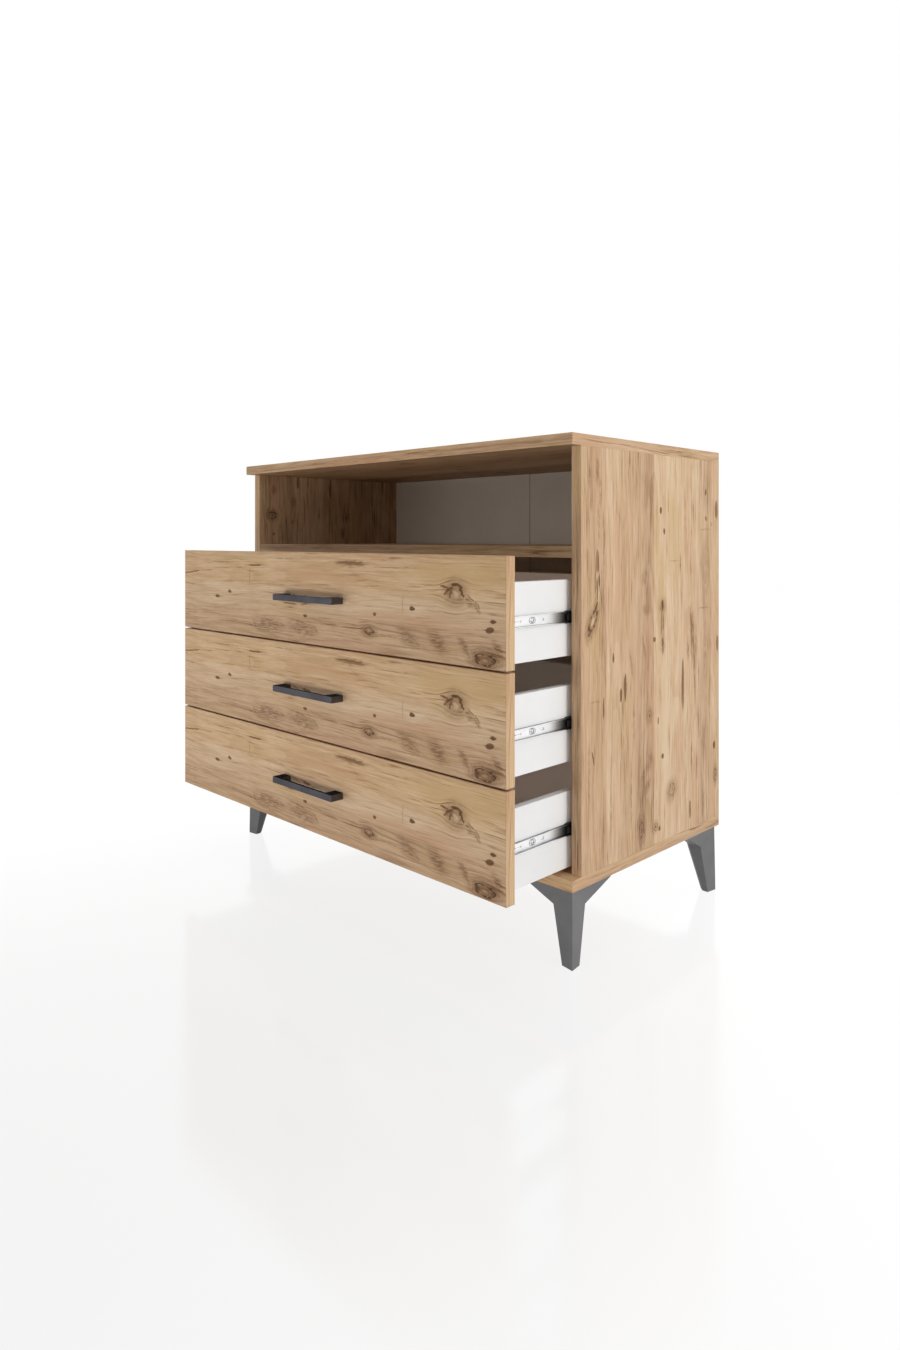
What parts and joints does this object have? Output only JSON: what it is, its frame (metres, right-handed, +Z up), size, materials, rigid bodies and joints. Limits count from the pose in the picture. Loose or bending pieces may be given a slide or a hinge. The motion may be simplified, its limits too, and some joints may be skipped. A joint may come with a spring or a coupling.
{
  "type": "chest of drawers",
  "caption": "Low chest of drawers in pine decor with an open niche over the drawers, dark bar handles and dark moulded corner legs, drawers pulled out.",
  "frame": {"origin": "on the floor, in the middle of the chest in X and Y as it stands with its drawers open", "axes": "+Z up, +X to the right seen from the front, +Y to the back"},
  "size_m": [0.9, 0.624, 0.814],
  "materials": {
    "wood_decor": "printed pine decor with knots, matt",
    "drawer_board": "white coated board, matt",
    "back_board": "off-white lacquered hardboard, matt",
    "back_tape": "paper tape, matt",
    "leg_plastic": "moulded, fine matt texture",
    "handle_metal": "dark grey powder coat",
    "zinc_steel": "bright zinc plated",
    "cage_plastic": "black, smooth",
    "screw_steel": "zinc plated"
  },
  "bodies": {
    "carcass": {"top_panel": "wood_decor", "bottom_panel": "wood_decor", "niche_shelf": "wood_decor", "side_panel_left": "wood_decor", "side_panel_right": "wood_decor", "back_panel_left": "back_board", "back_panel_right": "back_board", "back_panel_tape": "back_tape", "leg_front_left": "leg_plastic", "leg_front_right": "leg_plastic", "leg_rear_left": "leg_plastic", "leg_rear_right": "leg_plastic", "cabinet_rail_left_top": "zinc_steel", "cabinet_rail_right_top": "zinc_steel", "cabinet_rail_left_middle": "zinc_steel", "cabinet_rail_right_middle": "zinc_steel", "cabinet_rail_left_bottom": "zinc_steel", "cabinet_rail_right_bottom": "zinc_steel"},
    "drawer_top": {"drawer_top_front": "wood_decor", "drawer_top_back": "drawer_board", "drawer_top_bottom": "drawer_board", "drawer_top_side_left": "drawer_board", "drawer_top_side_right": "drawer_board", "drawer_top_handle": "handle_metal", "drawer_top_handle_screw_left": "screw_steel", "drawer_top_handle_screw_right": "screw_steel", "drawer_top_rail_left": "zinc_steel", "drawer_top_rail_right": "zinc_steel"},
    "cages_top": {"ball_cage_left_top": "cage_plastic", "ball_cage_right_top": "cage_plastic"},
    "drawer_middle": {"drawer_middle_front": "wood_decor", "drawer_middle_back": "drawer_board", "drawer_middle_bottom": "drawer_board", "drawer_middle_side_left": "drawer_board", "drawer_middle_side_right": "drawer_board", "drawer_middle_handle": "handle_metal", "drawer_middle_handle_screw_left": "screw_steel", "drawer_middle_handle_screw_right": "screw_steel", "drawer_middle_rail_left": "zinc_steel", "drawer_middle_rail_right": "zinc_steel"},
    "cages_middle": {"ball_cage_left_middle": "cage_plastic", "ball_cage_right_middle": "cage_plastic"},
    "drawer_bottom": {"drawer_bottom_front": "wood_decor", "drawer_bottom_back": "drawer_board", "drawer_bottom_bottom": "drawer_board", "drawer_bottom_side_left": "drawer_board", "drawer_bottom_side_right": "drawer_board", "drawer_bottom_handle": "handle_metal", "drawer_bottom_handle_screw_left": "screw_steel", "drawer_bottom_handle_screw_right": "screw_steel", "drawer_bottom_rail_left": "zinc_steel", "drawer_bottom_rail_right": "zinc_steel"},
    "cages_bottom": {"ball_cage_left_bottom": "cage_plastic", "ball_cage_right_bottom": "cage_plastic"}
  },
  "joints": [
    {"name": "drawer_top_slide", "type": "slide", "parent": "carcass", "child": "drawer_top", "axis": [0, -1, 0], "range_m": [-0.151, 0.099]},
    {"name": "cages_top_slide", "type": "slide", "parent": "carcass", "child": "cages_top", "axis": [0, -1, 0], "range_m": [-0.0755, 0.0495]},
    {"name": "drawer_middle_slide", "type": "slide", "parent": "carcass", "child": "drawer_middle", "axis": [0, -1, 0], "range_m": [-0.151, 0.099]},
    {"name": "cages_middle_slide", "type": "slide", "parent": "carcass", "child": "cages_middle", "axis": [0, -1, 0], "range_m": [-0.0755, 0.0495]},
    {"name": "drawer_bottom_slide", "type": "slide", "parent": "carcass", "child": "drawer_bottom", "axis": [0, -1, 0], "range_m": [-0.151, 0.099]},
    {"name": "cages_bottom_slide", "type": "slide", "parent": "carcass", "child": "cages_bottom", "axis": [0, -1, 0], "range_m": [-0.0755, 0.0495]}
  ],
  "couplings": [
    {"joint": "cages_top_slide", "follows": "drawer_top_slide", "ratio": 0.5},
    {"joint": "cages_middle_slide", "follows": "drawer_middle_slide", "ratio": 0.5},
    {"joint": "cages_bottom_slide", "follows": "drawer_bottom_slide", "ratio": 0.5}
  ]
}
